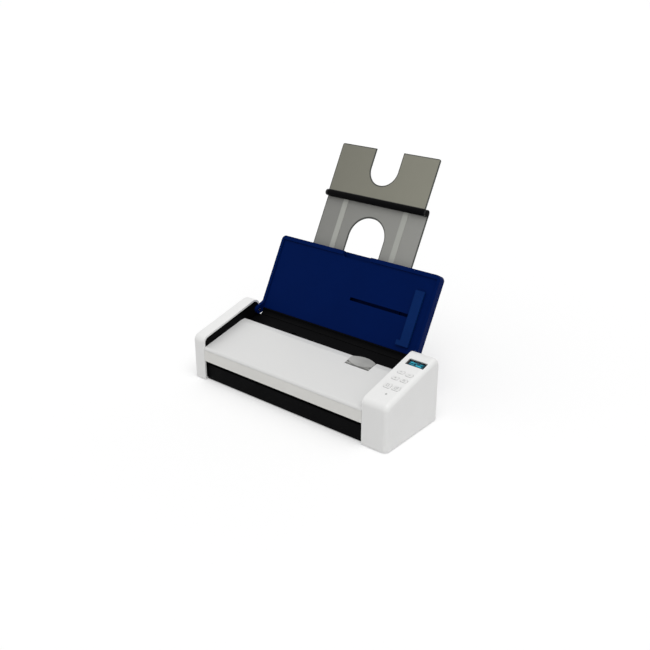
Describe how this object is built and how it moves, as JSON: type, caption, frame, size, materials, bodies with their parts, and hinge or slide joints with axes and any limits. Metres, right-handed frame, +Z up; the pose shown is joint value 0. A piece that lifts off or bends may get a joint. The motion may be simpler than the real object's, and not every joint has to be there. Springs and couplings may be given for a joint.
{
  "type": "document scanner",
  "caption": "Sheet-fed desktop document scanner with a fold-down paper tray, a sliding and folding paper extension, a hinged feeder cover and a small key panel.",
  "frame": {"origin": "on the table, under the centre of the open scanner's bounding box", "axes": "+X to the right along the rollers, +Y to the back, +Z up"},
  "size_m": [0.3, 0.216, 0.2718],
  "materials": {
    "cap_white": "soft gloss moulded plastic",
    "cover_silver": "satin silver paint on plastic",
    "strip_white": "soft gloss moulded plastic",
    "black_plastic": "fine grain",
    "navy_plastic": "fine grain",
    "smoke_plastic": "smoky translucent",
    "grey_plastic": "satin",
    "key_grey": "satin",
    "steel": "ground",
    "zinc": "zinc plated",
    "rubber": "matt",
    "foot_rubber": "matt",
    "gear_plastic": "acetal",
    "board_green": "solder mask",
    "chip_black": "moulded",
    "glass": "clear",
    "display": "lit display",
    "light": "light pipe"
  },
  "bodies": {
    "base": {"left_end_cap": "cap_white", "right_end_cap": "cap_white", "left_side_plate": "black_plastic", "right_side_plate": "black_plastic", "base_pan": "black_plastic", "rear_cover": "cap_white", "rubber_feet": "foot_rubber", "lower_paper_guide": "black_plastic", "lower_image_sensor": "black_plastic", "lower_sensor_glass": "glass", "roller_bushes": "gear_plastic", "motor_can": "zinc", "main_board": "board_green", "board_components": "chip_black", "usb_socket": "steel", "panel_board": "board_green", "display_window": "glass", "display_module": "display", "status_light": "light", "lid_hinge_pins": "steel", "cover_hinge_pins": "steel", "screws": "zinc"},
    "tray": {"tray_front": "navy_plastic", "tray_back": "navy_plastic", "tray_screws": "zinc"},
    "paper_guide": {"paper_guide": "navy_plastic"},
    "extension": {"extension_panel": "smoke_plastic", "hinge_rod": "black_plastic"},
    "flap": {"extension_flap": "smoke_plastic", "hinge_barrel": "black_plastic"},
    "cover": {"cover_shell": "cover_silver", "cover_front_strip": "strip_white", "cover_frame": "black_plastic", "upper_image_sensor": "black_plastic", "upper_sensor_glass": "glass"},
    "release_lever": {"release_lever": "grey_plastic"},
    "separation_arm": {"separation_arm": "black_plastic", "separation_pad": "rubber"},
    "sensor_flag": {"paper_flag": "black_plastic"},
    "drive_roller": {"drive_roller_shaft": "steel", "drive_roller_rubber": "rubber", "drive_gear": "gear_plastic"},
    "exit_roller": {"exit_roller_shaft": "steel", "exit_roller_rubber": "rubber", "exit_gear": "gear_plastic"},
    "pick_roller": {"pick_roller_shaft": "steel", "pick_roller_rubber": "rubber", "pick_gear": "gear_plastic"},
    "exit_idler": {"exit_idler_gear": "gear_plastic"},
    "pick_idler": {"pick_idler_gear": "gear_plastic"},
    "compound_gear": {"compound_gear": "gear_plastic"},
    "motor_rotor": {"motor_pinion": "steel"},
    "drive_pinch": {"drive_pinch_rollers": "gear_plastic"},
    "exit_pinch": {"exit_pinch_rollers": "gear_plastic"},
    "key_up": {"key_up": "key_grey"},
    "key_down": {"key_down": "key_grey"},
    "key_cancel": {"key_cancel": "key_grey"},
    "key_menu": {"key_menu": "key_grey"},
    "key_simplex": {"key_simplex": "key_grey"},
    "key_duplex": {"key_duplex": "key_grey"}
  },
  "joints": [
    {"name": "tray_fold", "type": "hinge", "parent": "base", "child": "tray", "pos_m": [0, -0.011, 0.0665], "axis": [-1, 0, 0], "range_deg": [-132.4, 0]},
    {"name": "guide_slide", "type": "slide", "parent": "tray", "child": "paper_guide", "axis": [1, 0, 0], "range_m": [-0.095, 0]},
    {"name": "extension_slide", "type": "slide", "parent": "tray", "child": "extension", "axis": [0, 0.4756, 0.8796], "range_m": [-0.0635, 0]},
    {"name": "flap_fold", "type": "hinge", "parent": "extension", "child": "flap", "pos_m": [0, 0.07773, 0.21304], "axis": [-1, 0, 0], "range_deg": [-180, 0]},
    {"name": "cover_open", "type": "hinge", "parent": "base", "child": "cover", "pos_m": [0, -0.103, 0.029], "axis": [1, 0, 0], "range_deg": [0, 70]},
    {"name": "lever_lift", "type": "hinge", "parent": "cover", "child": "release_lever", "pos_m": [0, -0.0484, 0.05431], "axis": [1, 0, 0], "range_deg": [0, 12], "stiffness_Nm_per_rad": 0.01, "springref_deg": -17.19},
    {"name": "arm_lift", "type": "hinge", "parent": "cover", "child": "separation_arm", "pos_m": [0, -0.05065, 0.05055], "axis": [1, 0, 0], "range_deg": [0, 4], "stiffness_Nm_per_rad": 0.01, "springref_deg": -17.19},
    {"name": "flag_tip", "type": "hinge", "parent": "base", "child": "sensor_flag", "pos_m": [0, -0.02279, 0.05019], "axis": [1, 0, 0], "range_deg": [0, 70], "stiffness_Nm_per_rad": 0.0002, "springref_deg": -17.19},
    {"name": "drive_spin", "type": "hinge", "parent": "base", "child": "drive_roller", "pos_m": [0, -0.05569, 0.03679], "axis": [1, 0, 0], "continuous": true},
    {"name": "exit_spin", "type": "hinge", "parent": "base", "child": "exit_roller", "pos_m": [0, -0.09461, 0.0224], "axis": [1, 0, 0], "continuous": true},
    {"name": "pick_spin", "type": "hinge", "parent": "base", "child": "pick_roller", "pos_m": [0, -0.03507, 0.04015], "axis": [1, 0, 0], "continuous": true},
    {"name": "exit_idler_spin", "type": "hinge", "parent": "base", "child": "exit_idler", "pos_m": [0, -0.07403, 0.02656], "axis": [1, 0, 0], "continuous": true},
    {"name": "pick_idler_spin", "type": "hinge", "parent": "base", "child": "pick_idler", "pos_m": [0, -0.04985, 0.04952], "axis": [1, 0, 0], "continuous": true},
    {"name": "compound_spin", "type": "hinge", "parent": "base", "child": "compound_gear", "pos_m": [0, -0.05627, 0.0201], "axis": [1, 0, 0], "continuous": true},
    {"name": "motor_spin", "type": "hinge", "parent": "base", "child": "motor_rotor", "pos_m": [0, -0.03877, 0.0201], "axis": [1, 0, 0], "continuous": true},
    {"name": "drive_pinch_spin", "type": "hinge", "parent": "cover", "child": "drive_pinch", "pos_m": [0, -0.05926, 0.04645], "axis": [1, 0, 0], "continuous": true},
    {"name": "exit_pinch_spin", "type": "hinge", "parent": "cover", "child": "exit_pinch", "pos_m": [0, -0.09818, 0.03206], "axis": [1, 0, 0], "continuous": true},
    {"name": "key_up_press", "type": "slide", "parent": "base", "child": "key_up", "axis": [0, 0.2436, -0.9699], "range_m": [0, 0.0005], "stiffness_N_per_m": 400, "springref_m": -0.0008},
    {"name": "key_down_press", "type": "slide", "parent": "base", "child": "key_down", "axis": [0, 0.2436, -0.9699], "range_m": [0, 0.0005], "stiffness_N_per_m": 400, "springref_m": -0.0008},
    {"name": "key_cancel_press", "type": "slide", "parent": "base", "child": "key_cancel", "axis": [0, 0.2436, -0.9699], "range_m": [0, 0.0005], "stiffness_N_per_m": 400, "springref_m": -0.0008},
    {"name": "key_menu_press", "type": "slide", "parent": "base", "child": "key_menu", "axis": [0, 0.2436, -0.9699], "range_m": [0, 0.0005], "stiffness_N_per_m": 400, "springref_m": -0.0008},
    {"name": "key_simplex_press", "type": "slide", "parent": "base", "child": "key_simplex", "axis": [0, 0.2436, -0.9699], "range_m": [0, 0.0005], "stiffness_N_per_m": 400, "springref_m": -0.0008},
    {"name": "key_duplex_press", "type": "slide", "parent": "base", "child": "key_duplex", "axis": [0, 0.2436, -0.9699], "range_m": [0, 0.0005], "stiffness_N_per_m": 400, "springref_m": -0.0008}
  ],
  "couplings": [
    {"joint": "exit_idler_spin", "follows": "drive_spin", "ratio": -0.5},
    {"joint": "exit_spin", "follows": "drive_spin", "ratio": 1},
    {"joint": "compound_spin", "follows": "drive_spin", "ratio": 1.4286},
    {"joint": "motor_spin", "follows": "drive_spin", "ratio": -3.6735},
    {"joint": "pick_idler_spin", "follows": "drive_spin", "ratio": -1},
    {"joint": "pick_spin", "follows": "drive_spin", "ratio": 0.66667},
    {"joint": "drive_pinch_spin", "follows": "drive_spin", "ratio": -1.5},
    {"joint": "exit_pinch_spin", "follows": "drive_spin", "ratio": -1.5}
  ]
}
